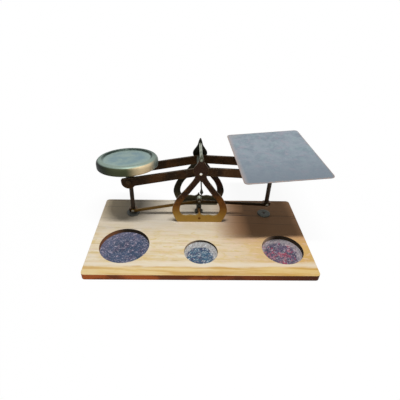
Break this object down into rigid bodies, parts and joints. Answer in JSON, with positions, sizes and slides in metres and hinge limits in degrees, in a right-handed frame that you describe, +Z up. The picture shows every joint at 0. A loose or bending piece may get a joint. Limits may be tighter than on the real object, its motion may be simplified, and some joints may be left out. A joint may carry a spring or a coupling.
{
  "type": "letter balance",
  "caption": "Parallel-link brass letter balance: round weight dish and flat letter plate above a tilting beam, heart-shaped side frames, wooden board with wells for weights.",
  "frame": {"origin": "centre of the board's underside", "axes": "+X along the beam from the weight dish to the letter plate, +Y from the front edge of the board to the back, +Z up"},
  "size_m": [0.2192, 0.1467, 0.0845],
  "materials": {
    "oak_board": "waxed, worn",
    "lining_slate": "matt",
    "lining_teal": "matt",
    "lining_plum": "matt",
    "frame_brass": "patinated",
    "dark_brass": "dark patina",
    "tie_brass": "worn",
    "pin_steel": "polished",
    "pad_leather": "worn",
    "bar_brass": "dark patina",
    "pointer_brass": "worn",
    "stay_brass": "patinated",
    "post_brass": "dark patina",
    "dish_brass": "green-grey patina",
    "plate_brass": "blue-grey tarnish"
  },
  "bodies": {
    "stand": {"base_board": "oak_board", "well_lining_left": "lining_slate", "well_lining_middle": "lining_teal", "well_lining_right": "lining_plum", "front_side_frame": "frame_brass", "rear_side_frame": "dark_brass", "frame_screws": "dark_brass", "top_tie_rod": "tie_brass", "bottom_tie_rod": "dark_brass", "index_post": "tie_brass", "stay_centre_pin": "pin_steel", "stop_pad_left": "pad_leather", "stop_pad_right": "pad_leather", "stop_nails": "dark_brass"},
    "beam": {"beam_front_bar": "bar_brass", "beam_rear_bar": "bar_brass", "beam_crosspiece": "tie_brass", "fulcrum_pin": "pin_steel", "fulcrum_collars": "dark_brass", "end_pin_left": "dark_brass", "end_pin_right": "dark_brass", "pointer": "pointer_brass"},
    "stay": {"lower_stay": "stay_brass"},
    "left_pan": {"left_carrier": "dark_brass", "left_post": "post_brass", "left_foot": "dark_brass", "left_stay_pin": "pin_steel", "weight_dish": "dish_brass", "dish_socket": "dark_brass"},
    "right_pan": {"right_carrier": "dark_brass", "right_post": "post_brass", "right_foot": "dark_brass", "right_stay_pin": "pin_steel", "letter_plate": "plate_brass", "plate_socket": "dark_brass"}
  },
  "joints": [
    {"name": "beam_tilt", "type": "hinge", "parent": "stand", "child": "beam", "pos_m": [0, 0.036, 0.0644], "axis": [0, 1, 0], "range_deg": [0, 7.8]},
    {"name": "stay_tilt", "type": "hinge", "parent": "stand", "child": "stay", "pos_m": [0, 0.036, 0.02348], "axis": [0, 1, 0], "range_deg": [0, 7.8]},
    {"name": "left_pan_level", "type": "hinge", "parent": "beam", "child": "left_pan", "pos_m": [-0.07124, 0.036, 0.05072], "axis": [0, 1, 0], "range_deg": [-7.8, 0]},
    {"name": "right_pan_level", "type": "hinge", "parent": "beam", "child": "right_pan", "pos_m": [0.07243, 0.036, 0.06052], "axis": [0, 1, 0], "range_deg": [-7.8, 0]}
  ],
  "couplings": [
    {"joint": "stay_tilt", "follows": "beam_tilt", "ratio": 1},
    {"joint": "left_pan_level", "follows": "beam_tilt", "ratio": -1},
    {"joint": "right_pan_level", "follows": "beam_tilt", "ratio": -1}
  ]
}
